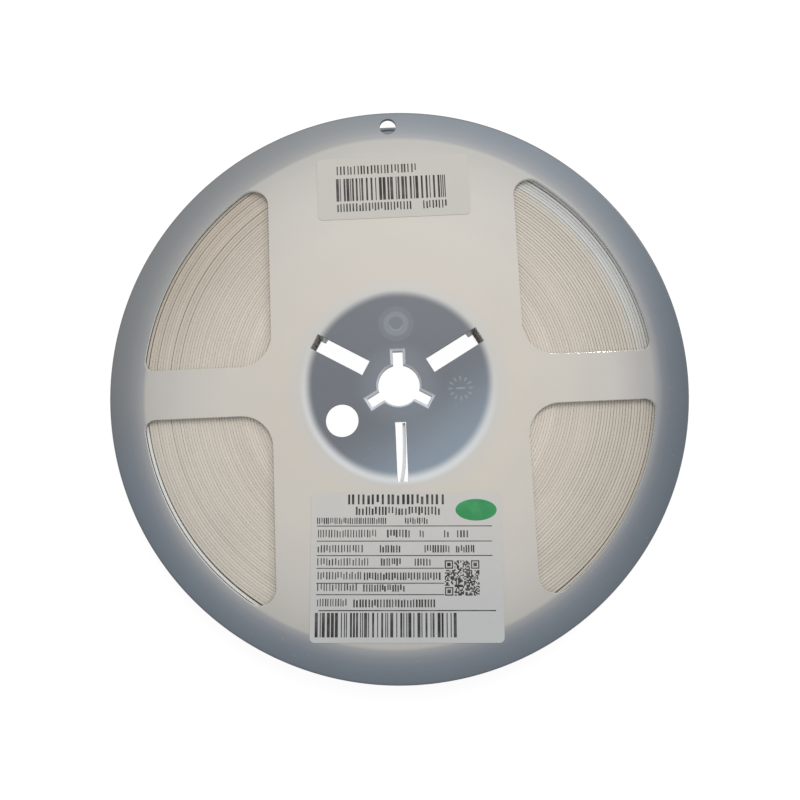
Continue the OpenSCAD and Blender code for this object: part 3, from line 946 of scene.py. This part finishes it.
# Disc of rings: point = middle + (a cos t, b sin t) x share, raised a hair, with a rim that goes down
def greenOval(material):
    oval, sheet = labels["oval"], labels["main"]
    (x, y), (a, b), count = oval["middle"], oval["halves"], oval["points"]
    share, height = np.array(oval["rings"]).T
    t = np.linspace(0, 2 * math.pi, count, endpoint=False)
    local = np.stack([x + a * share[:, None] * np.cos(t), y + b * share[:, None] * np.sin(t)], -1)
    flat = spun(local + (0, sheet["rise"]), sheet["turn"]) + np.array(sheet["middle"])
    points, quads = atHeights(flat, labels["top"] + height), gridFaces(len(share), count, wrapColumns=True)
    return flipInward(makePiece("greenOval", points * mm, quads, material, endRings(len(share), count)))


# lamps: place, aim and size in metres, power in watts; the small one gives a window's edge its glint
studio = {
    "worldStrength": 0.62,
    "lamps": [
        ("softLight", (0.12, 0.86, 1.38), (0, 0, 0.01), 0.9, 8.6, (1.0, 0.99, 0.97)),
        ("sideLight", (0.80, 0.72, 0.62), (0, 0, 0.01), 0.35, 2.8),
        ("glintLight", (0.358, 0.766, 0.892), (0.062, 0.008, 0.011), 0.022, 0.9),
    ],
}

makeCamera(view)
world = bpy.data.worlds.new("studio")
bpy.context.scene.world = world
world.use_nodes = True
backdrop = world.node_tree.nodes["Background"]
backdrop.inputs["Color"].default_value = (1, 1, 1, 1)
backdrop.inputs["Strength"].default_value = studio["worldStrength"]
for lamp in studio["lamps"]:
    makeLamp(*lamp)
print("camera and lights are in place")

reelMaterial, paperMaterial, labelMaterial = reelFinish(), paperFinish(), labelFinish()
for name in ("main_label", "top_label"):
    nodes[name].data.materials.clear()
    nodes[name].data.materials.append(labelMaterial)
moulding = reelMoulding(reelMaterial)
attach(moulding, "root")
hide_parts("reel_body")
print("reel moulded:", len(moulding.data.polygons), "faces")

wound, start, loose = woundTape(paperMaterial), tapeTongue(tongueFinish()), lastTurn(paperMaterial)
for piece in (wound, start, loose, chipRow(chipFinish()), coverFilm(filmFinish())):
    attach(piece, "root")
    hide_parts("tape_roll")
print("tape wound:", len(wound.data.polygons), "faces")

ink = inkFinish("labelInk", tone(44, 44, 44), tone(104, 102, 100))
greenInk = inkFinish("greenInk", tone(52, 138, 84), tone(78, 160, 108), 0.1)
for piece in (*printLabels(ink), greenOval(greenInk)):
    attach(piece, "root")
print("labels printed")


ground = {
    "radius": 3.0, "rings": (0.002, 0.3, 1.0), "drop": 0.00002, "points": 64,
    "pale": 0.8, "faint": 0.17,                           # what it reflects: for light, and where it is seen
    "glow": 0.89, "paintedShadowUnderRoll": 0.12, "paintedLightUnderHub": 0.97,
    "roll": (0.032, 0.084), "hub": (0.0285, 0.031), "soft": 0.002,     # metres from the axis
}


# the floor is pale for light, and nearly white where it is looked at, with the object's shadow kept
def floorFinish():
    f = Finish("paleFloor", Roughness=1.0)
    tree = f.tree
    tree.nodes.remove(f.shader)
    path = tree.nodes.new("ShaderNodeLightPath")
    seen = Sock(tree, path.outputs["Is Camera Ray"]).maths("ADD", Sock(tree, path.outputs["Is Glossy Ray"]))
    seen = seen.maths("ADD", Sock(tree, path.outputs["Is Transmission Ray"]), clamp=True)
    grey = lambda level: (level, level, level)
    pale = f.node("BsdfDiffuse", Color=grey(ground["pale"]))
    faint = f.node("BsdfDiffuse", Color=grey(ground["faint"]))
    # what is seen of the floor: a painted shadow, dark right under the roll, and painted light, bright under
    # the open hub
    x, y = f.parts(f.place())[:2]
    away = (x * x + y * y) ** 0.5
    paintedShadowUnderRoll = f.band(away, *ground["roll"], ground["soft"])
    shade = f.blend(paintedShadowUnderRoll, grey(ground["glow"]), grey(ground["paintedShadowUnderRoll"]))
    shade = f.blend(1 - f.step(away, *ground["hub"]), shade, grey(ground["paintedLightUnderHub"]))
    glow = f.node("Emission", Color=shade, Strength=1.0)
    shown = f.node("AddShader", _0=faint, _1=glow)
    mixed = f.node("MixShader", _0=seen, _1=pale, _2=shown)
    tree.links.new(mixed.link, tree.nodes["Material Output"].inputs["Surface"])
    return f.material


disc = [(share * ground["radius"], -ground["drop"]) for share in ground["rings"]]
floorPoints, floorQuads, (middle, _) = turnedShell((0, 0), disc, ground["points"])
floor = makePiece("floor", floorPoints, floorQuads[:, ::-1], floorFinish(), [middle[::-1]])

bpy.context.scene.view_settings.view_transform = "Standard"
